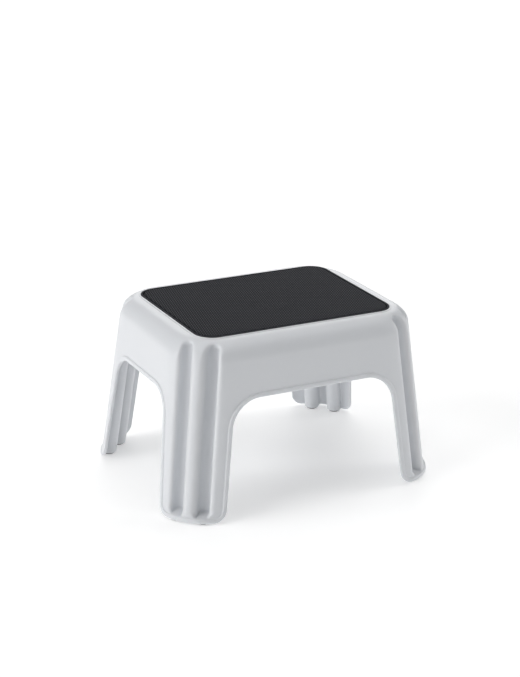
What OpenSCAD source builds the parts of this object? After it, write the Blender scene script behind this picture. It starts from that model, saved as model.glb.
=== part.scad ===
// One-step stool: a moulded plastic shell on four fluted legs, with a soft tread mat
// let into its top and small rubber pads under its feet.
// Millimetres. +Z is up, X runs along the long side, and the origin is on the floor
// under the middle of the stool.

/* [Overall] */
// Height from the floor to the top of the tread mat
stool_h = 235; // [200:1:290]
// Length across the feet at the floor, without the raised rim
foot_l = 394; // [330:1:480]
// Depth across the feet at the floor, without the raised rim
foot_d = 314; // [265:1:380]
// How far each end face leans in over the full height
lean_l = 25.4; // [10:0.1:32]
// How far each long face leans in over the full height
lean_d = 22; // [10:0.1:28]
// Radius of the upright corners
corner_r = 66; // [54:1:80]

/* [Shell] */
// Thickness of the walls
wall = 2.8; // [2:0.1:3.5]
// Thickness of the top plate under the mat
top_plate = 3; // [2:0.1:5]
// Radius of the shoulder between the top and the sides
shoulder_r = 25; // [20:1:28]

/* [Arches] */
// Height of the arches above the floor
arch_h = 159; // [130:1:175]
// Width of a leg on the long faces, at the floor
leg_w_front = 65.3; // [60:0.1:72]
// Width of a leg on the long faces, at the top of the arch
leg_w_front_top = 66.7; // [60:0.1:75]
// Width of a leg on the end faces, at the floor
leg_w_side = 63.2; // [60:0.1:72]
// Width of a leg on the end faces, at the top of the arch
leg_w_side_top = 69.4; // [60:0.1:75]
// Radius of the upper corners of the arches in the long faces
arch_r_front = 35; // [20:1:45]
// Radius of the upper corners of the arches in the end faces
arch_r_side = 29; // [20:1:40]
// Radius of the lower corners of the legs
foot_r = 17; // [10:1:22]

/* [Raised rim] */
// Width of the rim that follows the arches, the legs and the feet
rim_w = 6.5; // [4:0.1:9]
// How far the rim stands proud of the faces
rim_t = 1.2; // [0.6:0.1:2]

/* [Leg flutes] */
// Width of a flute from wall to wall
flute_w = 15.6; // [12:0.1:19]
// Depth of a flute below the round of the corner
flute_depth = 19; // [12:0.5:20]
// Distance between the centre lines of the two flutes in a leg
flute_spacing = 34; // [31:0.5:36]
// Distance from the tread down to the rounded upper end of a flute
flute_drop = 5; // [4:0.5:12]

/* [Tread mat] */
// Distance from the line of the end faces, at tread height, in to the mat
mat_inset_l = 29.6; // [27:0.1:45]
// Distance from the line of the long faces, at tread height, in to the mat
mat_inset_d = 28.4; // [27:0.1:45]
// Radius of the corners of the mat
mat_r = 25.5; // [15:0.5:35]
// Thickness of the mat
mat_t = 3; // [2:0.1:5]
// Gap between the mat and the wall of its recess
mat_clear = 0.3; // [0.1:0.05:0.8]
// How far the mat stands above the lip around it
mat_proud = 0.4; // [0:0.1:1]
// Width of the lip around the mat
lip_w = 2.2; // [1.5:0.1:3]
// Height of the lip above the shoulder
lip_h = 1; // [0.5:0.1:2]

/* [Foot pads] */
// How much wider a pad is than the flute above it
pad_extra = 0.4; // [-3:0.1:1]
// Thickness of a pad
pad_t = 5; // [4:0.5:6]
// How far a pad stands out below the foot
pad_proud = 2; // [1:0.5:3]
// Gap around a pad in its pocket
pad_clear = 0.2; // [0.1:0.05:0.4]

/* [Ribs under the top] */
// Thickness of a rib
rib_t = 2; // [1.5:0.1:3]
// Depth of the ribs below the top plate
rib_h = 12; // [6:1:20]
// Number of ribs that run front to back
ribs_across = 5; // [2:1:7]
// Number of ribs that run along the stool
ribs_along = 3; // [1:1:5]

/* [Hidden] */
LEGS = [["front_left", -1, -1], ["front_right", 1, -1], ["rear_left", -1, 1], ["rear_right", 1, 1]];
PADS = ["end", "side"];

// Levels, from the top down
lip_z = stool_h - mat_proud;
shoulder_z = lip_z - lip_h;
recess_z = stool_h - mat_t;
cavity_z = recess_z - top_plate;
flute_top_z = stool_h - flute_drop;
ledge_z = pad_proud + rim_w;

// Plan of the flutes, measured along the leg's diagonal from the middle of the corner's arc
flute_r = flute_w / 2;
flute_v = flute_spacing / 2;
flute_u = sqrt(pow(corner_r, 2) - pow(flute_v, 2)) - flute_depth + flute_r;

// Pads: each sits under its flute, at least a wall's thickness inside the leg's outline
pad_d = flute_w + pad_extra;
pad_u = min(flute_u, sqrt(pow(corner_r, 2) - pow(flute_v, 2)) - wall - pad_d / 2 - pad_clear);

// Outline of the mat
mat_l = foot_l - 2 * lean_l - 2 * mat_inset_l;
mat_d = foot_d - 2 * lean_d - 2 * mat_inset_d;

// Margin that cuts run past the faces they open, and the straight start of a flute
past = 10;
flute_start = 1;

// Steps in the round surfaces
shoulder_steps = 6;
corner_steps = 12;
flute_fn = 24;
$fn = 48;

// Half sizes of the shell and the middle of its corner arcs at a height
function half_l(z) = foot_l / 2 - lean_l * z / stool_h;
function half_d(z) = foot_d / 2 - lean_d * z / stool_h;
function arc_x(z) = half_l(z) - corner_r;
function arc_y(z) = half_d(z) - corner_r;

// A place in the front left leg's plan frame: u along the diagonal, v across it
function leg_x(z, u, v) = arc_x(z) + (u - v) / sqrt(2);
function leg_y(z, u, v) = arc_y(z) + (u + v) / sqrt(2);

module rounded_rect(l, d, r) {
    square([l, d - 2 * r], center = true);
    square([l - 2 * r, d], center = true);
    for (x = [-1, 1], y = [-1, 1])
        translate([x * (l / 2 - r), y * (d / 2 - r)])
            circle(r);
}

// The outline of the shell at height z, grown sideways by grow
function shell_ring(z, grow) = [
    for (quarter = [0:3], i = [0:corner_steps])
        let (
            a = 90 * (quarter + i / corner_steps),
            x = quarter == 0 || quarter == 3 ? arc_x(z) : -arc_x(z),
            y = quarter < 2 ? arc_y(z) : -arc_y(z)
        )
        [x + (corner_r + grow) * cos(a), y + (corner_r + grow) * sin(a), z]
];

// The leaning block with its rounded shoulder; grow moves the sides out, top_z is its top
module shell_block(grow, top_z) {
    r = shoulder_r + grow;
    levels = [
        [-past, grow],
        for (i = [0:shoulder_steps])
            let (a = 90 * i / shoulder_steps)
            [top_z - r * (1 - sin(a)), grow - r * (1 - cos(a))]
    ];
    n = 4 * (corner_steps + 1);
    top = n * (len(levels) - 1);
    polyhedron(
        points = [for (level = levels) each shell_ring(level[0], level[1])],
        faces = [
            [for (i = [0:n - 1]) i],
            [for (i = [n - 1:-1:0]) top + i],
            for (k = [1:len(levels) - 1], i = [0:n - 1])
                let (j = (i + 1) % n)
                [(k - 1) * n + i, k * n + i, k * n + j, (k - 1) * n + j]
        ]
    );
}

// An arch, with the floor strip that rounds the feet on both sides of it
module arch_profile(face_half, foot_leg, top_leg, face_lean, r) {
    foot_half = face_half - foot_leg;
    top_half = face_half - face_lean * arch_h / stool_h - top_leg;
    slope = (foot_half - top_half) / arch_h;
    low = -past - 2 * foot_r;
    offset(r = -foot_r)
        offset(delta = foot_r) {
            offset(r = r)
                offset(delta = -r)
                    polygon([
                        [-top_half, arch_h],
                        [top_half, arch_h],
                        [foot_half - low * slope, low],
                        [-foot_half + low * slope, low]
                    ]);
            translate([-face_half - 2 * past, low])
                square([2 * face_half + 4 * past, pad_proud - low]);
        }
}

// Both arch tunnels, through the long faces and through the ends, widened by grow
module arch_tunnels(grow) {
    rotate([90, 0, 0])
        linear_extrude(foot_d + 2 * past, center = true)
            offset(r = grow)
                arch_profile(foot_l / 2, leg_w_front, leg_w_front_top, lean_l, arch_r_front);
    rotate([90, 0, 90])
        linear_extrude(foot_l + 2 * past, center = true)
            offset(r = grow)
                arch_profile(foot_d / 2, leg_w_side, leg_w_side_top, lean_d, arch_r_side);
}

// A round-ended slot along a leg, open outwards: the flute itself, or its wall when grown
module flute_slot(v, grow, low_z) {
    r = flute_r + grow;
    top = flute_top_z - flute_r;
    hull()
        for (u = [flute_u, corner_r + past]) {
            translate([leg_x(low_z, u, v), leg_y(low_z, u, v), low_z])
                cylinder(r = r, h = flute_start, $fn = flute_fn);
            translate([leg_x(top, u, v), leg_y(top, u, v), top])
                sphere(r, $fn = flute_fn);
        }
}

// The eight slots, two in each leg
module flutes(grow, low_z) {
    for (leg = LEGS, side = [-1, 1])
        scale([leg[1], leg[2], 1])
            flute_slot(side * flute_v, grow, low_z);
}

// The place of a pad, at the foot under the round back of a flute
module at_pad(leg, side) {
    translate([
        leg[1] * leg_x(0, pad_u, side * flute_v),
        leg[2] * leg_y(0, pad_u, side * flute_v),
        0
    ])
        children();
}

// Crossed stiffening ribs that hang from the top plate
module ribs() {
    reach_l = mat_l / 2;
    reach_d = mat_d / 2;
    rib_z = cavity_z - rib_h + (rib_h + past) / 2;
    for (i = [1:ribs_across])
        translate([-reach_l + 2 * reach_l * i / (ribs_across + 1), 0, rib_z])
            cube([rib_t, foot_d, rib_h + past], center = true);
    for (i = [1:ribs_along])
        translate([0, -reach_d + 2 * reach_d * i / (ribs_along + 1), rib_z])
            cube([foot_l, rib_t, rib_h + past], center = true);
}

// The hollow under the top, with the flute walls and the ribs left standing in it
module hollow() {
    difference() {
        shell_block(-wall, cavity_z);
        flutes(wall, -past);
        ribs();
    }
}

module stool_body() {
    color("gainsboro")
        difference() {
            union() {
                shell_block(0, shoulder_z);
                intersection() {
                    shell_block(rim_t, shoulder_z);
                    arch_tunnels(rim_w);
                }
                translate([0, 0, recess_z - top_plate / 2])
                    linear_extrude(lip_z - recess_z + top_plate / 2)
                        rounded_rect(
                            mat_l + 2 * (mat_clear + lip_w),
                            mat_d + 2 * (mat_clear + lip_w),
                            mat_r + mat_clear + lip_w
                        );
            }
            hollow();
            flutes(0, ledge_z);
            arch_tunnels(0);
            translate([0, 0, recess_z])
                linear_extrude(mat_t + past)
                    rounded_rect(mat_l + 2 * mat_clear, mat_d + 2 * mat_clear, mat_r + mat_clear);
            for (leg = LEGS, side = [-1, 1])
                at_pad(leg, side)
                    translate([0, 0, -past])
                        cylinder(d = pad_d + 2 * pad_clear, h = past + pad_t);
        }
}

module tread_mat() {
    color("darkslategray")
        translate([0, 0, recess_z])
            linear_extrude(mat_t)
                rounded_rect(mat_l, mat_d, mat_r);
}

module foot_pad(leg, side) {
    color("black")
        at_pad(leg, side)
            cylinder(d = pad_d, h = pad_t);
}

stool_body();
tread_mat();
for (leg = LEGS) for (i = [0, 1])
    foot_pad(leg, i == 0 ? -1 : 1);
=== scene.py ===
import math

import bmesh
import bpy
import numpy as np
from mathutils import Matrix, Vector


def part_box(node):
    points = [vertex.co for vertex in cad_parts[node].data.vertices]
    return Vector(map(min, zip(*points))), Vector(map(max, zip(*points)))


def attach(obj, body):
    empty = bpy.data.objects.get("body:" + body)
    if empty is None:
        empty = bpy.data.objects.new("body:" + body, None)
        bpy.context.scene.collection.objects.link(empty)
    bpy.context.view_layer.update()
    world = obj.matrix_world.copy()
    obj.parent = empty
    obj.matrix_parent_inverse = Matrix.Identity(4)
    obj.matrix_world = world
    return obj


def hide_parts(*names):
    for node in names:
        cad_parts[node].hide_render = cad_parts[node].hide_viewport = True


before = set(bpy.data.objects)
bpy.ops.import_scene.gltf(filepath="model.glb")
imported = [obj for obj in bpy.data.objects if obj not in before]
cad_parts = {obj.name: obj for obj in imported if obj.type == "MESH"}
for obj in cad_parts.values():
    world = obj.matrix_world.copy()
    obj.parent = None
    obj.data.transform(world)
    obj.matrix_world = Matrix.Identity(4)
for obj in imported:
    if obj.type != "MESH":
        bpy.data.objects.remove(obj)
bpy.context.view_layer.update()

# A step stool: a glossy moulded shell on four fluted legs, a textured tread mat let into the
# top and rubber pads under the feet. Lengths are millimetres until the meshes are made.
MM = 0.001
LEGS = [("front_left", -1, -1), ("front_right", 1, -1), ("rear_left", -1, 1), ("rear_right", 1, 1)]

# The frame's mat and pads set the height and the sizes of the soft pieces
mat_lo, mat_hi = (np.array(p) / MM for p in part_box("tread_mat"))
pad_lo, pad_hi = (np.array(p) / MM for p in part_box("foot_pad_rear_right_end"))
STOOL_H = mat_hi[2]
RECESS_Z = mat_lo[2]
MAT_HALF = mat_hi[:2]
MAT_R = 25.5
PAD_R = (pad_hi[0] - pad_lo[0]) / 2

# Shell: sizes at the floor, the lean of the faces over the full height, and the corners
FOOT_L, FOOT_D = 394.0, 314.0
LEAN_L, LEAN_D = 25.4, 22.0
CORNER_R = 66.0
WALL = 2.8
TOP_T = 3.0
SHOULDER_R = 25.0
FOOT_Z = 2.0
CAVITY_Z = RECESS_Z - TOP_T
CAVITY_R = SHOULDER_R - WALL

# Lip round the mat: how far the mat stands above it, its height, its gap to the mat and its
# width, then (distance in from its outer edge, height above the shoulder) over it
MAT_PROUD, LIP_H, MAT_GAP, LIP_W = 0.4, 1.0, 0.3, 2.2
SHOULDER_Z = STOOL_H - MAT_PROUD - LIP_H
LIP = [(0, 0.35), (0, 0.6), (0.12, 0.82), (0.4, 0.96), (0.75, LIP_H), (1.5, LIP_H), (1.85, 0.94),
       (2.1, 0.78), (LIP_W, 0.5), (LIP_W, RECESS_Z - SHOULDER_Z)]

# Mat: (distance in from its edge, height above the floor of the recess) over its rounded upper
# edge, the plain border, the groove and the start of the embossed field, then the insets
# between which it counts as groove, and the share of the outline that its underside covers
MAT_T = STOOL_H - RECESS_Z
FIELD_T = 2.95
MAT_PROFILE = [(0, 0.1), (0, 2.3), (0.08, 2.65), (0.3, 2.88), (0.65, MAT_T), (2.5, MAT_T),
               (2.6, 2.93), (2.65, 2.7), (2.7, 1.5), (3.1, 1.0), (4.1, 1.0), (4.5, 1.5),
               (4.55, 2.7), (4.65, 2.9), (4.8, FIELD_T), (8, FIELD_T)]
GROOVE = (2.68, 4.52)
UNDER_SHARE = 0.998

# Ribs under the top: depth, thickness, how far they run into the top and into the walls, and
# how many stand across the length and across the depth
RIB_H, RIB_T, RIB_IN_TOP, RIB_IN_WALL = 12.0, 2.0, 0.8, 0.5
RIBS_ON_LENGTH, RIBS_ON_DEPTH = 5, 3

# Pads: (distance in from the side, height) up the rounded lower edge, and the upper bevel
PAD_EDGE = [(1.2, 0), (0.6, 0.1), (0.18, 0.42), (0, 0.9)]
PAD_BEVEL = 0.4

# Arches, legs and feet: (leg width at the floor, leg width at the arch top, arch corner radius)
ARCH_H = 159.0
LONG_FACE = (65.3, 66.7, 35.0)
END_FACE = (63.2, 69.4, 29.0)
FOOT_R = 17.0

# Flutes, in the leg's plan frame: u runs out along the diagonal, v across it. A ledge closes
# each at the foot, and on the inside its wall shows as a round lobe
FLUTE_R = 7.4
FLUTE_V = 17.0
FLUTE_U = 52.57
FLUTE_DROP = 6.5
FLUTE_TOP = STOOL_H - FLUTE_DROP - FLUTE_R
LEDGE_Z = 8.5
LEDGE_SLOPE = 0.15
LEDGE_FILLET = 2.0
LOBE_EDGE = 1.5

# Rounding of the ridges beside a flute: below the ledge, above it, up the leg and at the
# shoulder, and the heights between which each gives way to the next
FOOT_EDGE, TIGHT_EDGE, RIDGE_EDGE, UPPER_EDGE = 1.2, 4.2, 8.3, 5.6
LEDGE_RISE, RIDGE_RISE, UPPER_FADE = (8, 11), (10, 15.5), (203, 224)

# Edge band: (distance in from the edge, height above the face) across the raised rim outside
# and the rolled edge inside
RIM = np.array([
    (0, -1.8), (0, -0.9), (0.12, -0.1), (0.45, 0.6), (0.95, 1.08), (1.6, 1.4), (2.4, 1.53),
    (3.6, 1.55), (4.6, 1.55), (5.2, 1.52), (5.7, 1.4), (6.05, 1.12), (6.3, 0.78), (6.5, 0.48),
    (6.65, 0.3), (6.8, 0.16), (6.95, 0.08), (7.1, 0.03), (7.25, 0), (7.4, 0), (7.55, 0),
    (7.7, 0), (8, 0),
])
INNER_EDGE = np.array([(0, -1.8), (0.1, -2.3), (0.4, -2.7), (0.9, -2.8), (3, -2.8), (8, -2.8)])
BAND = 8.0
ARCH_TOP = ARCH_H + BAND

# Mesh columns: on the crest, across the flute, from there to the edge band, over the face; how
# far off the diagonal the crest's end, and at what arc length the flute's end at the foot and
# how much further up the leg
CREST_COLS, FLUTE_COLS, EDGE_COLS, FACE_COLS = 1, 46, 6, 10
EDGE_SHARE = np.linspace(0, 1, EDGE_COLS + 1)[1:]
FACE_SHARE = np.linspace(0, 1, FACE_COLS + 1)
CREST_V = 0.7
QUARTER_ARC = CORNER_R * math.pi / 4
FLUTE_END, FLUTE_END_RISE = 32.5, 7.8

# Walk along a section: the step, the number of steps, the pulls back to the curve after each,
# where the start is looked for on the diagonal, the halvings that find it and those that find
# the lip, the half step and least size of a slope, and how much depth and turning count beside
# width when the columns are shared out
STEP, STEPS, PULLS = 0.3, 250, 3
START_SPAN, HALVINGS, LIP_HALVINGS = (20.0, 75.0), 40, 30
NUDGE, LEAST_SLOPE = 1e-4, 1e-3
DEPTH_SHARE, TURN_SHARE = 0.4, 1.4

# Heights of the mesh rows up a straight leg, and up the shoulder, closer together where the
# flutes run out
LEG_STEPS = [22.5, 27, 34, 44, 56, 70, 85, 100, 113]
SHOULDER_STEPS = [211, 213.5, 216, 218, 219.8, 221.2, 222.3, 223.4, 224.5, 225.5, 226.5, 227.4,
                  228.2, 228.9, 229.5, 230, 230.5, 231, 231.5, 232, 232.4, 232.75]
FACE_STEPS = 6

# Mesh rows round the foot, round the arch, over the last of the shoulder and over the sole, and
# the turns, (from, to, rows) in degrees, round the hollow's shoulder: beside the lobes, above
# them and at the end of a rib
FOOT_TURN_ROWS, ARCH_TURN_ROWS, ROLL_ROWS, SOLE_ROWS = 10, 19, 8, 5
LOBE_TURN, CEILING_TURN = (0, 80, 17), (83, 90, 3)
RIB_TURN = (30, 90, 8)

# Mesh steps round the mat: in a corner, along a long side, along an end; and round a pad
MAT_STEPS = (16, 14, 10)
PAD_SIDES = 40

# Metres: points closer than the first are one point, edges shorter than the second are dropped
MERGE, SLIVER = 2e-6, 1e-7

# Textures: nine waves of orange peel to a centimetre; seven grains of rubber to a centimetre,
# drawn coarser than the real grain so that it shows; (slant in degrees, spacing) of the mat's
# two sets of embossed lines, which also place its painted highlights and shade; and how far
# light spreads inside the plastic
PEEL = 10 / 9
GRAIN = 10 / 7
WEAVE = ((45, 3.1), (12.3, 3.2))
BLEED = 5.0

# Radians that a wave texture turns through in a length of one over its scale
WAVE_RATE = 20

# Light: the room's own, then (name, azimuth, elevation, strength, spread) of a broad key on the
# left end, a wide one overhead, a weak one from behind and a weak one on the right end
ROOM = 0.03
LIGHTS = (
    ("key", 88, 18, 0.54, 50),
    ("overhead", 0, 84, 0.47, 70),
    ("behind", -28, 22, 0.22, 40),
    ("side", -98, 16, 0.30, 30),
)

# Floor: half its width in metres and how brightly it glows, to stay near white
FLOOR, FLOOR_GLOW = 60.0, 0.30

# Camera: its place and line of sight in metres, roll in degrees, lens and sensor width
CAMERA_AT = (-1.00732, -1.92612, 0.97308)
CAMERA_LOOK = (0.43344, 0.83332, -0.34307)
CAMERA_ROLL = 0.826
LENS, SENSOR = 91.2, 36.0


def along(side, z):
    """Distance along a face from the middle of the stool to the start of the corner, at height z.
    side is 1 on a long face and -1 on an end face."""
    if side > 0:
        return FOOT_L / 2 - LEAN_L * z / STOOL_H - CORNER_R
    return FOOT_D / 2 - LEAN_D * z / STOOL_H - CORNER_R


def to_quarter(side, u, v, z, straight=0.0):
    """Points of the quarter with x and y above 0, from the leg's plan frame. straight is how far
    past the end of the corner a point lies along the flat face."""
    v = v * side
    x = along(1, z) + (u - v) / math.sqrt(2)
    y = along(-1, z) + (u + v) / math.sqrt(2)
    if side > 0:
        x = x - straight
    else:
        y = y - straight
    return np.stack(np.broadcast_arrays(x, y, z), -1)


def on_shell(side, s, z, grow):
    """Points at arc length s round from the leg's diagonal, at height z, standing grow off the
    shell: on the round corner up to an eighth turn, then straight along the face."""
    turn = np.minimum(s, QUARTER_ARC) / CORNER_R
    radius = CORNER_R + grow
    straight = np.maximum(s - QUARTER_ARC, 0)
    return to_quarter(side, radius * np.cos(turn), radius * np.sin(turn), z, straight)


def round_max(a, b, r):
    """The larger of two distances, with the edge where they meet rounded to radius r."""
    a, b = a + r, b + r
    return np.minimum(np.maximum(a, b), 0) + np.hypot(np.maximum(a, 0), np.maximum(b, 0)) - r


def block(u, v, z, grow, shoulder, top):
    """Distance from the corner post with a shoulder of that radius at the top."""
    d = np.hypot(u, v) - CORNER_R - grow
    return round_max(d, z - top, shoulder)


def slot(u, v, z, r):
    """Distance from the round-ended slot of a flute: everything within r of the half plane that
    lies outside the flute's axis and below its top."""
    deep = np.hypot(np.maximum(FLUTE_U - u, 0), v - FLUTE_V)
    return np.hypot(deep, np.maximum(z - FLUTE_TOP, 0)) - r


def smooth_step(x, low, high):
    """0 below low and 1 above high, with a cubic between that is level at both ends."""
    t = np.clip((x - low) / (high - low), 0, 1)
    return t * t * (3 - 2 * t)


def outer_field(u, v, z, grow):
    """Below 0 inside the moulding seen from outside: the corner post less the flute. The ridges
    beside the flute are full rounds, tighter where it runs out at the shoulder and the foot."""
    ledge = LEDGE_Z + LEDGE_SLOPE * (CORNER_R - u) - z
    void = round_max(slot(u, v, z, FLUTE_R), ledge, LEDGE_FILLET)
    edge = FOOT_EDGE + (TIGHT_EDGE - FOOT_EDGE) * smooth_step(z, *LEDGE_RISE)
    edge = edge + (RIDGE_EDGE - TIGHT_EDGE) * smooth_step(z, *RIDGE_RISE)
    edge = edge - (RIDGE_EDGE - UPPER_EDGE) * smooth_step(z, *UPPER_FADE)
    return round_max(block(u, v, z, grow, SHOULDER_R, SHOULDER_Z), -void, edge)


def inner_field(u, v, z, grow):
    """Below 0 in the hollow under the shell: inside the walls and clear of the flute's back."""
    hollow = block(u, v, z, -WALL, CAVITY_R, CAVITY_Z)
    return round_max(hollow, -slot(u, v, z, FLUTE_R + WALL), LOBE_EDGE) - grow


def section_end(z):
    """Arc length from the diagonal at which the flute's columns give way to the plain face."""
    return FLUTE_END + FLUTE_END_RISE * smooth_step(z, *RIDGE_RISE)


def sections(field, z, grow):
    """Where field is 0 at each height z, from the leg's diagonal out past the flute: the curve is
    walked in short steps along its tangent, each pulled back to it, then shared out into columns
    by width, depth and turning. Returns u and v, rows by columns."""
    z, grow = np.broadcast_arrays(np.asarray(z, float), np.asarray(grow, float))
    low, high = (np.full(z.shape, end) for end in START_SPAN)
    for _ in range(HALVINGS):
        mid = (low + high) / 2
        inside = field(mid, 0 * mid, z, grow) < 0
        low, high = np.where(inside, mid, low), np.where(inside, high, mid)
    u, v = (low + high) / 2, np.zeros(z.shape)

    def slope(u, v):
        du = (field(u + NUDGE, v, z, grow) - field(u - NUDGE, v, z, grow)) / (2 * NUDGE)
        dv = (field(u, v + NUDGE, z, grow) - field(u, v - NUDGE, z, grow)) / (2 * NUDGE)
        return du, dv, np.maximum(np.hypot(du, dv), LEAST_SLOPE)

    walk = [(u, v)]
    for _ in range(STEPS):
        du, dv, size = slope(u, v)
        u, v = u - STEP * dv / size, v + STEP * du / size
        for _ in range(PULLS):
            du, dv, size = slope(u, v)
            pull = np.clip(field(u, v, z, grow) / size, -STEP, STEP)
            u, v = u - pull * du / size, v - pull * dv / size
        walk.append((u, v))
    us, vs = (np.array([w[i] for w in walk]).T for i in (0, 1))
    heading = np.unwrap(np.arctan2(np.diff(vs), np.diff(us)))
    turning = np.abs(np.diff(heading, prepend=heading[:, :1]))
    gone = np.abs(np.diff(vs)) + DEPTH_SHARE * np.abs(np.diff(us)) + TURN_SHARE * turning
    measure = np.concatenate([np.zeros((len(us), 1)), np.cumsum(gone, 1)], 1)
    angle = np.arctan2(vs, us)
    out_u, out_v = [], []
    for row_u, row_v, done, turn, end in zip(us, vs, measure, angle, section_end(z) / CORNER_R):
        last = np.nonzero(turn < end)[0][-1]
        share = (end - turn[last]) / (turn[last + 1] - turn[last])
        stop = done[last] + share * (done[last + 1] - done[last])
        first = np.nonzero(row_v > CREST_V)[0][0]
        share = (CREST_V - row_v[first - 1]) / (row_v[first] - row_v[first - 1])
        crest = done[first - 1] + share * (done[first] - done[first - 1])
        at = np.concatenate([
            np.linspace(0, crest, CREST_COLS + 1)[:-1],
            np.linspace(crest, stop, FLUTE_COLS + 1),
        ])
        out_u.append(np.interp(at, done, row_u))
        out_v.append(np.interp(at, done, row_v))
    return np.array(out_u), np.array(out_v)


def edge_line(side):
    """The leg's free edge on one face, a straight line up the leg: a function that gives its arc
    length s at height z, and how far it tilts from upright."""
    foot_leg, top_leg, _ = LONG_FACE if side > 0 else END_FACE
    tilt = math.atan((top_leg - foot_leg) / ARCH_H)

    def line(z):
        return QUARTER_ARC - CORNER_R + foot_leg + math.tan(tilt) * z

    return line, tilt


def corner_middles(side):
    """The middles of the arch's and the foot's corners as (s, z), each a radius square off the
    edge line, the arch's on the open side of it and the foot's on the leg's side."""
    line, tilt = edge_line(side)
    arch_r = (LONG_FACE if side > 0 else END_FACE)[2]
    arch_z = ARCH_H - arch_r
    arch_s = line(arch_z + arch_r * math.sin(tilt)) + arch_r * math.cos(tilt)
    foot_z = FOOT_Z + FOOT_R
    foot_s = line(foot_z - FOOT_R * math.sin(tilt)) - FOOT_R * math.cos(tilt)
    return (arch_s, arch_z), (foot_s, foot_z)


def row_ends(side, z):
    """For each height, where the edge band's inner line lies, and which way it faces: round the
    foot's corner, up the leg's edge and round the arch's corner."""
    line, tilt = edge_line(side)
    (arch_s, arch_z), (foot_s, foot_z) = corner_middles(side)
    s = line(z - BAND * math.sin(tilt)) - BAND * math.cos(tilt)
    face = np.full(z.shape, tilt)
    r = FOOT_R - BAND
    low = z <= foot_z - r * math.sin(tilt)
    turn = np.arcsin(np.clip((foot_z - z) / r, -1, 1))
    s, face = np.where(low, foot_s + r * np.cos(turn), s), np.where(low, turn, face)
    r = ARCH_H - arch_z + BAND
    high = z >= arch_z + r * math.sin(tilt)
    turn = np.arcsin(np.clip((z - arch_z) / r, -1, 1))
    return np.where(high, arch_s - r * np.cos(turn), s), np.where(high, turn, face)


def degrees(low, high, n):
    """n angles in radians from low to high degrees."""
    return np.radians(np.linspace(low, high, n))


LEG_ROWS = np.concatenate([
    FOOT_Z + FOOT_R - (FOOT_R - BAND) * np.sin(degrees(90, 0, FOOT_TURN_ROWS)),
    LEG_STEPS,
    ARCH_H - LONG_FACE[2] + (LONG_FACE[2] + BAND) * np.sin(degrees(0, 90, ARCH_TURN_ROWS)),
])


class Mesh:
    """Collects grids of points, rows by columns, and the quads between neighbouring points."""

    def __init__(self):
        self.points, self.quads, self.count = [], [], 0

    def grid(self, p):
        n, m = p.shape[:2]
        k = self.count + np.arange(n * m).reshape(n, m)
        q = np.stack([k[:-1, :-1], k[1:, :-1], k[1:, 1:], k[:-1, 1:]], -1).reshape(-1, 4)
        self.points.append(p.reshape(-1, 3))
        self.quads.append(q)
        self.count += n * m

    def arrays(self):
        return np.concatenate(self.points), np.concatenate(self.quads)


def lip_outline(inset):
    """Half size and corner radius of the lip round the mat, inset towards the mat."""
    return MAT_HALF + MAT_GAP + LIP_W - inset, MAT_R + MAT_GAP + LIP_W - inset


def on_outline(p, inset):
    """The nearest point of the lip's outline to each plan point, and the distance outside it."""
    half, r = lip_outline(inset)
    middle = half - r
    d = p - middle
    inside_x, inside_y = d[..., 0] < 0, d[..., 1] < 0
    n = np.maximum(d, 0)
    flat = inside_x & inside_y
    n = np.where(flat[..., None], [0.0, 1.0], n)
    size = np.maximum(np.hypot(n[..., 0], n[..., 1]), 1e-9)
    n = n / size[..., None]
    x = np.where(inside_x, p[..., 0], middle[0] + r * n[..., 0])
    y = np.where(inside_y & ~inside_x, p[..., 1], middle[1] + r * n[..., 1])
    return np.stack([x, y], -1), size - r


def shrunk(row, shares):
    """Copies of a row drawn in towards the middle of the stool, each to its share of the way."""
    return [row * [share, share, 1] for share in shares]


def whole_row(side, field, z, grow, end_s, skin, faces):
    """Full rows of columns at heights z: across the flute, on to arc length end_s and, with
    faces, over the face to its middle. Returns the points, and u and v across the flute."""
    u, v = sections(field, z, grow)
    parts = [to_quarter(side, u, v, z[:, None])]
    start = section_end(z)[:, None]
    s = start + (end_s[:, None] - start) * EDGE_SHARE
    parts.append(on_shell(side, s, z[:, None], skin[:, None]))
    if faces:
        middle = QUARTER_ARC + along(side, z)
        s = end_s[:, None] + (middle - end_s)[:, None] * FACE_SHARE[1:]
        parts.append(on_shell(side, s, z[:, None], skin[:, None]))
    return np.concatenate(parts, 1), u, v


def edge_band(mesh, side, profile):
    """The band along the free edge: the profile set square to the edge line, carried round the
    foot, up the leg and round the arch, then straight along the top of the arch."""
    (arch_s, _), _ = corner_middles(side)
    ends, facing = row_ends(side, LEG_ROWS)
    d, h = profile.T
    out = BAND - d
    s = ends[:, None] + out * np.cos(facing)[:, None]
    z = LEG_ROWS[:, None] - out * np.sin(facing)[:, None]
    mesh.grid(on_shell(side, s, z, h))
    z = (ARCH_H + d)[:, None]
    middle = QUARTER_ARC + along(side, z)
    s = arch_s + (middle - arch_s) * FACE_SHARE
    mesh.grid(on_shell(side, s, z, h[:, None]))


def upper_arcs(side, u, v):
    """Arc lengths of the columns over a leg where the flute has run out, from the last section."""
    (arch_s, _), _ = corner_middles(side)
    start = section_end(SHOULDER_Z)
    across = np.arctan2(v[-1], u[-1]) * CORNER_R
    return np.concatenate([across, start + (arch_s - start) * EDGE_SHARE])


def upper_row(side, arcs, z, grow):
    """One row above the flutes, with its own height z and grow for each column: over the leg at
    those arc lengths, then over the face to its middle."""
    (arch_s, _), _ = corner_middles(side)
    middle = QUARTER_ARC + along(side, z[len(arcs):])
    s = np.concatenate([arcs, arch_s + (middle - arch_s) * FACE_SHARE[1:]])
    return on_shell(side, s, z, grow)


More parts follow.
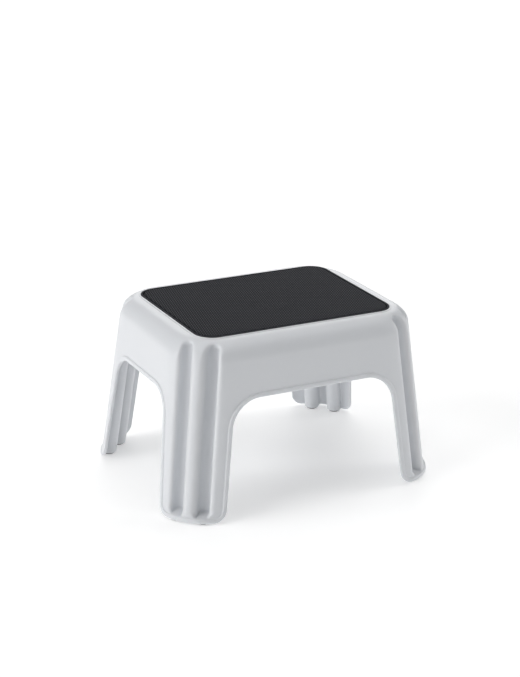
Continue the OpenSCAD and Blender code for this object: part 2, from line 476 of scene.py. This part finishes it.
def outer_skin(mesh, side):
    """Outside of half a leg and the shell above it: rim, foot, leg and face, then the shoulder
    rolled inwards up to the lip, the lip, and the wall and floor of the mat's recess. Returns
    the bottom row of the foot."""
    (arch_s, _), (foot_s, _) = corner_middles(side)
    ends, _ = row_ends(side, LEG_ROWS)
    edge_band(mesh, side, RIM)
    foot_end = np.full(len(RIM), foot_s)
    z = FOOT_Z + RIM[:, 0]
    foot = whole_row(side, outer_field, z, RIM[:, 1], foot_end, RIM[:, 1], False)[0]
    flat = np.zeros(len(LEG_ROWS))
    mesh.grid(foot[1:])
    mesh.grid(whole_row(side, outer_field, LEG_ROWS, flat, ends, flat, False)[0])
    rise = np.concatenate([
        np.linspace(ARCH_TOP, SHOULDER_Z - SHOULDER_R, FACE_STEPS),
        SHOULDER_STEPS,
    ])
    tilt = np.arcsin(np.clip((rise - SHOULDER_Z + SHOULDER_R) / SHOULDER_R, 0, 1))
    flat = np.zeros(len(rise))
    skin = -SHOULDER_R * (1 - np.cos(tilt))
    face, u, v = whole_row(side, outer_field, rise, flat, flat + arch_s, skin, True)
    mesh.grid(face)
    arcs = upper_arcs(side, u, v)

    def ring(a):
        z = SHOULDER_Z - SHOULDER_R * (1 - np.sin(a))
        return upper_row(side, arcs, z, -SHOULDER_R * (1 - np.cos(a)))

    # each column goes on round the shoulder until it meets the lip, found by halving
    start, level = tilt[-1], math.pi / 2
    count = len(arcs) + FACE_COLS
    low, high = np.full(count, start), np.full(count, level)
    clear = on_outline(ring(high)[:, :2], 0)[1] >= 0
    for _ in range(LIP_HALVINGS):
        mid = (low + high) / 2
        out = on_outline(ring(mid)[:, :2], 0)[1] >= 0
        low, high = np.where(out, mid, low), np.where(out, high, mid)
    stop = np.where(clear, level, low)
    rows = [ring(start + (stop - start) * t) for t in np.linspace(0, 1, ROLL_ROWS)]
    base = rows[-1]
    rows.append(np.concatenate([on_outline(base[:, :2], 0)[0], base[:, 2:]], 1))
    for inset, up in LIP:
        p = on_outline(base[:, :2], inset)[0]
        rows.append(np.concatenate([p, np.full((count, 1), SHOULDER_Z + up)], 1))
    mesh.grid(np.array(rows + shrunk(rows[-1], (0.5, 0))))
    return foot[1]


def inner_skin(mesh, side):
    """Inside of half a leg and the hollow above it: rolled edge, leg with the backs of the flutes
    as round lobes, face, and the hollow's own shoulder up to its ceiling. Returns the bottom row
    of the foot."""
    (arch_s, _), (foot_s, _) = corner_middles(side)
    ends, _ = row_ends(side, LEG_ROWS)
    edge_band(mesh, side, INNER_EDGE)
    foot_end = np.full(len(INNER_EDGE), foot_s)
    lift = INNER_EDGE[:, 1] + WALL
    z = FOOT_Z + INNER_EDGE[:, 0]
    foot = whole_row(side, inner_field, z, lift, foot_end, INNER_EDGE[:, 1], False)[0]
    flat = np.zeros(len(LEG_ROWS))
    mesh.grid(foot)
    mesh.grid(whole_row(side, inner_field, LEG_ROWS, flat, ends, flat - WALL, False)[0])
    tilt = degrees(*LOBE_TURN)
    straight = np.linspace(ARCH_TOP, CAVITY_Z - CAVITY_R, FACE_STEPS)[:-1]
    rise = np.concatenate([straight, CAVITY_Z - CAVITY_R * (1 - np.sin(tilt))])
    skin = np.concatenate([0 * straight, -CAVITY_R * (1 - np.cos(tilt))]) - WALL
    flat = np.zeros(len(rise))
    face, u, v = whole_row(side, inner_field, rise, flat, flat + arch_s, skin, True)
    mesh.grid(face)
    arcs = upper_arcs(side, u, v)
    rows = [face[-1]]
    for a in degrees(*CEILING_TURN):
        z = np.full(len(arcs) + FACE_COLS, CAVITY_Z - CAVITY_R * (1 - math.sin(a)))
        rows.append(upper_row(side, arcs, z, -WALL - CAVITY_R * (1 - math.cos(a))))
    mesh.grid(np.array(rows + shrunk(rows[-1], (0.5, 0))))
    return foot[0]


def half_leg(mesh, side):
    """One half of a leg and the shell above it, from the leg's diagonal to the middle of a face:
    the two skins, and the sole as straight lines from one bottom row to the other."""
    first, last = outer_skin(mesh, side), inner_skin(mesh, side)
    t = np.linspace(0, 1, SOLE_ROWS)[:, None, None]
    mesh.grid(first * (1 - t) + last * t)


def hex_colour(text):
    """A colour written as sRGB hex, as linear RGBA."""
    c = np.array([int(text[i:i + 2], 16) for i in (0, 2, 4)]) / 255
    lin = np.where(c <= 0.04045, c / 12.92, ((c + 0.055) / 1.055) ** 2.4)
    return (*lin, 1.0)


def make_object(name, points, quads, material):
    """One smooth object from points in millimetres and quads, with doubled points merged and
    every face turned outwards."""
    data = bpy.data.meshes.new(name)
    data.from_pydata((points * MM).tolist(), [], quads.tolist())
    bm = bmesh.new()
    bm.from_mesh(data)
    bmesh.ops.remove_doubles(bm, verts=bm.verts, dist=MERGE)
    bmesh.ops.dissolve_degenerate(bm, edges=bm.edges, dist=SLIVER)
    bmesh.ops.recalc_face_normals(bm, faces=bm.faces)
    for f in bm.faces:
        f.smooth = True
    bm.to_mesh(data)
    bm.free()
    obj = bpy.data.objects.new(name, data)
    bpy.context.scene.collection.objects.link(obj)
    data.materials.append(material)
    return obj


def four_quarters(points, quads):
    """Mirrors a quarter into four, with faces turned over where the mirror flips them."""
    ps, qs = [], []
    for i, (_, sx, sy) in enumerate(LEGS):
        ps.append(points * [sx, sy, 1])
        qs.append((quads if sx * sy > 0 else quads[:, ::-1]) + i * len(points))
    return np.concatenate(ps), np.concatenate(qs)


def rib(mesh, side, at):
    """A stiffening rib under the top: an upright strip, as deep as RIB_H and as thick as RIB_T,
    whose two ends follow the round of the hollow's shoulder. It runs along the length if side is
    1 and along the depth if it is -1, that far off the middle."""
    turned = CAVITY_Z - CAVITY_R * (1 - np.sin(degrees(*RIB_TURN)))
    z = np.concatenate([[CAVITY_Z - RIB_H], turned, [CAVITY_Z + RIB_IN_TOP]])
    a = np.arcsin(np.clip((z - CAVITY_Z + CAVITY_R) / CAVITY_R, 0, 1))
    reach = along(side, z) + CORNER_R - WALL - CAVITY_R * (1 - np.cos(a)) + RIB_IN_WALL
    low, high = at - RIB_T / 2, at + RIB_T / 2
    ends = []
    for place, sign in ((low, -1), (low, 1), (high, 1), (high, -1), (low, -1)):
        p = np.stack([np.full(z.shape, place), sign * reach, z], -1)
        ends.append(p[:, [1, 0, 2]] if side > 0 else p)
    loop = np.array(ends)
    mesh.grid(loop)
    for k in (0, -1):
        cap = loop[:4, k]
        mesh.grid(cap[[0, 1, 3, 2]].reshape(2, 2, 3))


def add_node(tree, kind, settings=(), links=()):
    """A shader node with its settings and its input links: (input, output socket)."""
    node = tree.nodes.new(kind)
    for key, value in dict(settings).items():
        if key in node.inputs:
            node.inputs[key].default_value = value
        else:
            setattr(node, key, value)
    for key, socket in dict(links).items():
        tree.links.new(socket, node.inputs[key])
    return node


def new_material(name, **settings):
    """A material with those settings of its Principled shader, _ standing for a space. A
    pattern's scale in it is one over its spacing in metres."""
    mat = bpy.data.materials.new(name)
    mat.use_nodes = True
    tree = mat.node_tree
    shader = tree.nodes["Principled BSDF"]
    for key, value in settings.items():
        shader.inputs[key.replace("_", " ")].default_value = value
    return mat, tree, shader


def polypropylene():
    """Moulded polypropylene, pale cool grey. It is a little translucent, so light that goes in
    comes out some millimetres away and the flutes look soft, and the mould leaves it a broad
    sheen, broken up by a faint orange peel."""
    mat, tree, shader = new_material(
        "polypropylene", Base_Color=hex_colour("DCDEE1"), Roughness=0.34, IOR=1.49,
        Subsurface_Weight=0.6, Subsurface_Radius=(1.0, 1.0, 1.0), Subsurface_Scale=BLEED * MM,
    )
    coords = add_node(tree, "ShaderNodeTexCoord").outputs["Object"]
    peel = add_node(tree, "ShaderNodeTexNoise", {"Scale": 1 / (PEEL * MM), "Detail": 2.0},
                    {"Vector": coords})
    bump = add_node(tree, "ShaderNodeBump", {"Strength": 0.05, "Distance": 0.0002},
                    {"Height": peel.outputs["Fac"]})
    tree.links.new(bump.outputs["Normal"], shader.inputs["Normal"])
    return mat


def mat_rubber():
    """Matt charcoal rubber, embossed in the mould with two sets of slanting lines about 3 mm
    apart: small raised diamonds that read as a fine weave, with a painted highlight on
    their tops and painted shade between them. The mesh says where it is: 1 on the embossed
    field, a half on the plain border, 0 down in the groove, which is painted almost black
    as shade."""
    mat, tree, shader = new_material("mat_rubber", Roughness=0.7, Specular_IOR_Level=0.08)
    coords = add_node(tree, "ShaderNodeTexCoord").outputs["Object"]
    waves = []
    for slant, spacing in WEAVE:
        turn = (0, 0, math.radians(slant))
        spin = add_node(tree, "ShaderNodeMapping", {"Rotation": turn}, {"Vector": coords})
        scale = 2 * math.pi / WAVE_RATE / (spacing * MM)
        wave = add_node(tree, "ShaderNodeTexWave", {"Scale": scale},
                        {"Vector": spin.outputs["Vector"]})
        waves.append(wave.outputs["Fac"])
    weave = add_node(tree, "ShaderNodeMath", {"operation": "MULTIPLY"},
                     {0: waves[0], 1: waves[1]})
    # painted highlight on the raised diamonds' tops and painted shade between them, following the
    # weave
    weave_highlight_and_shade = add_node(tree, "ShaderNodeValToRGB", (), {"Fac": weave.outputs["Value"]})
    weave_highlight_and_shade.color_ramp.elements[0].color = hex_colour("0A0B0D")
    weave_highlight_and_shade.color_ramp.elements[1].color = hex_colour("484A52")
    part = add_node(tree, "ShaderNodeAttribute", {"attribute_name": "mat_part"}).outputs["Fac"]
    # the border's own colour, and near-black painted shade down in the groove
    plain = add_node(tree, "ShaderNodeValToRGB", (), {"Fac": part})
    plain.color_ramp.elements[0].color = hex_colour("030304")
    plain.color_ramp.elements[1].color = hex_colour("34353A")
    plain.color_ramp.elements[1].position = 0.5
    amount = add_node(tree, "ShaderNodeMapRange", {"From Min": 0.5}, {"Value": part})
    colour = add_node(tree, "ShaderNodeMixRGB", (), {
        "Fac": amount.outputs["Result"], "Color1": plain.outputs["Color"],
        "Color2": weave_highlight_and_shade.outputs["Color"],
    })
    tree.links.new(colour.outputs["Color"], shader.inputs["Base Color"])
    bump = add_node(tree, "ShaderNodeBump", {"Strength": 0.5, "Distance": 0.0006},
                    {"Height": weave.outputs["Value"]})
    tree.links.new(bump.outputs["Normal"], shader.inputs["Normal"])
    return mat


def pad_rubber():
    """Matt black rubber as it comes from a mould with a rough finish: a fine grain and nearly
    no sheen."""
    mat, tree, shader = new_material(
        "pad_rubber", Base_Color=hex_colour("1B1B1D"), Roughness=0.8,
    )
    coords = add_node(tree, "ShaderNodeTexCoord").outputs["Object"]
    grain = add_node(tree, "ShaderNodeTexNoise", {"Scale": 1 / (GRAIN * MM)}, {"Vector": coords})
    bump = add_node(tree, "ShaderNodeBump", {"Strength": 0.2, "Distance": 0.0002},
                    {"Height": grain.outputs["Fac"]})
    tree.links.new(bump.outputs["Normal"], shader.inputs["Normal"])
    return mat


def stool_shell(material):
    """The moulding: two half legs mirrored into four quarters, and ribs evenly spaced over the
    length and the depth of the mat."""
    quarter, ribs = Mesh(), Mesh()
    half_leg(quarter, 1)
    half_leg(quarter, -1)
    points, quads = four_quarters(*quarter.arrays())
    for side, count, half in ((-1, RIBS_ON_LENGTH, MAT_HALF[0]), (1, RIBS_ON_DEPTH, MAT_HALF[1])):
        for i in range(1, count + 1):
            rib(ribs, side, half * (2 * i / (count + 1) - 1))
    rib_points, rib_quads = ribs.arrays()
    points = np.concatenate([points, rib_points])
    quads = np.concatenate([quads, rib_quads + len(points) - len(rib_points)])
    return make_object("stool_shell", points, quads, material)


body = stool_shell(polypropylene())
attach(body, "root")
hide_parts("stool_body")


def rounded_ring(half, r, n_corner, n_long, n_short):
    """Points round a rounded rectangle, closed and anticlockwise, and their outward normals: at
    each corner a quarter circle about a middle that lies r in from both sides, then a straight
    line to the start of the next one."""
    middles = [(half - r) * sign for sign in ((1, 1), (-1, 1), (-1, -1), (1, -1))]
    points, normals = [], []
    for k in range(4):
        a = np.radians(90 * k) + np.linspace(0, math.pi / 2, n_corner + 1)
        n = np.stack([np.cos(a), np.sin(a)], -1)
        points.append(middles[k] + r * n)
        normals.append(n)
        steps = n_long if k % 2 == 0 else n_short
        t = np.linspace(0, 1, steps + 1)[1:-1, None]
        first, last = middles[k] + r * n[-1], middles[(k + 1) % 4] + r * n[-1]
        points.append(first * (1 - t) + last * t)
        normals.append(np.repeat(n[-1:], steps - 1, 0))
    p, n = np.concatenate(points), np.concatenate(normals)
    return np.concatenate([p, p[:1]]), np.concatenate([n, n[:1]])


def level_row(outline, z):
    """An outline in plan as a row of points, all at height z."""
    return np.column_stack([outline, np.full(len(outline), z)])


def mark_parts(mesh):
    """Writes into each point which part of the mat it is on, from how far in from the mat's edge
    it lies: 0.5 on the border, 0 in the groove, where shade is painted, 1 on the field."""
    place = np.empty(3 * len(mesh.vertices), np.float32)
    mesh.vertices.foreach_get("co", place)
    at = np.abs(place.reshape(-1, 3)[:, :2].astype(float)) / MM - MAT_HALF + MAT_R
    inset = MAT_R - np.hypot(*np.maximum(at, 0).T) - np.minimum(at.max(1), 0)
    part = np.where(inset > GROOVE[1], 1.0, np.where(inset > GROOVE[0], 0.0, 0.5))
    mesh.attributes.new("mat_part", "FLOAT", "POINT").data.foreach_set("value", part)


def tread(material):
    """The mat: the profile carried round the outline, each point moved in along the outline's
    normal and up, with the underside and the field closed by rings drawn in to the middle."""
    outline, normal = rounded_ring(MAT_HALF, MAT_R, *MAT_STEPS)
    rows = [level_row(outline * share, RECESS_Z) for share in (0, UNDER_SHARE)]
    rows += [level_row(outline - inset * normal, RECESS_Z + up) for inset, up in MAT_PROFILE]
    mesh = Mesh()
    mesh.grid(np.array(rows + shrunk(rows[-1], (0.6, 0.2, 0))))
    obj = make_object("tread_mat_embossed", *mesh.arrays(), material)
    mark_parts(obj.data)
    return obj


mat_obj = tread(mat_rubber())
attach(mat_obj, "root")
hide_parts("tread_mat")


def foot_pad(name, material):
    """A short round pad: its profile, a radius at each height, turned about its own axis."""
    lo, hi = (np.array(p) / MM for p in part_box(name))
    x, y, _ = (lo + hi) / 2
    top = hi[2]
    profile = [(0, 0)]
    profile += [(PAD_R - inset, up) for inset, up in PAD_EDGE]
    profile += [(PAD_R, top - PAD_BEVEL), (PAD_R - PAD_BEVEL, top), (0, top)]
    radius, z = np.array(profile).T[:, :, None]
    a = np.linspace(0, 2 * math.pi, PAD_SIDES + 1)
    around = np.broadcast_arrays(x + radius * np.cos(a), y + radius * np.sin(a), z)
    mesh = Mesh()
    mesh.grid(np.stack(around, -1))
    obj = make_object(name + "_turned", *mesh.arrays(), material)
    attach(obj, "root")
    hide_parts(name)


pad_material = pad_rubber()
for leg, _, _ in LEGS:
    for place in ("end", "side"):
        foot_pad(f"foot_pad_{leg}_{place}", pad_material)

# stage: a pale floor
floor_mesh = bpy.data.meshes.new("floor")
floor_mesh.from_pydata(
    [(-FLOOR, -FLOOR, 0), (FLOOR, -FLOOR, 0), (FLOOR, FLOOR, 0), (-FLOOR, FLOOR, 0)],
    [],
    [(0, 1, 2, 3)],
)
floor = bpy.data.objects.new("floor", floor_mesh)
bpy.context.scene.collection.objects.link(floor)
floor_mat, _, _ = new_material(
    "pale_floor", Base_Color=hex_colour("F6F6F6"), Roughness=0.9,
    Emission_Color=hex_colour("FFFFFF"), Emission_Strength=FLOOR_GLOW,
)
floor_mesh.materials.append(floor_mat)

# light: a dim room and the soft distant lights
world = bpy.data.worlds.new("room")
world.use_nodes = True
world.node_tree.nodes["Background"].inputs["Color"].default_value = (1, 1, 1, 1)
world.node_tree.nodes["Background"].inputs["Strength"].default_value = ROOM
bpy.context.scene.world = world


def sky_light(name, azimuth, elevation, strength, spread):
    """A distant light from that azimuth (0 is +Y, 90 is -X) and elevation. strength is the
    brightness it gives a white face turned to it, spread its width in the sky in degrees."""
    data = bpy.data.lights.new(name, "SUN")
    data.energy = math.pi * strength
    data.angle = math.radians(spread)
    light = bpy.data.objects.new(name, data)
    a, e = math.radians(azimuth), math.radians(elevation)
    towards = Vector((-math.sin(a) * math.cos(e), math.cos(a) * math.cos(e), math.sin(e)))
    light.rotation_mode = "QUATERNION"
    light.rotation_quaternion = (-towards).to_track_quat("-Z", "Y")
    bpy.context.scene.collection.objects.link(light)


for light in LIGHTS:
    sky_light(*light)

# camera: above the front left, looking down on the tread
cam_data = bpy.data.cameras.new("camera")
cam = bpy.data.objects.new("camera", cam_data)
bpy.context.scene.collection.objects.link(cam)
back = -Vector(CAMERA_LOOK).normalized()
right = Vector((0, 0, 1)).cross(back).normalized()
up = back.cross(right)
roll = math.radians(CAMERA_ROLL)
rolled_right = right * math.cos(roll) + up * math.sin(roll)
rolled_up = up * math.cos(roll) - right * math.sin(roll)
turned = Matrix((rolled_right, rolled_up, back)).transposed().to_4x4()
cam.matrix_world = Matrix.Translation(CAMERA_AT) @ turned
cam_data.sensor_width = SENSOR
cam_data.lens = LENS
bpy.context.scene.camera = cam
bpy.context.scene.view_settings.view_transform = "Standard"
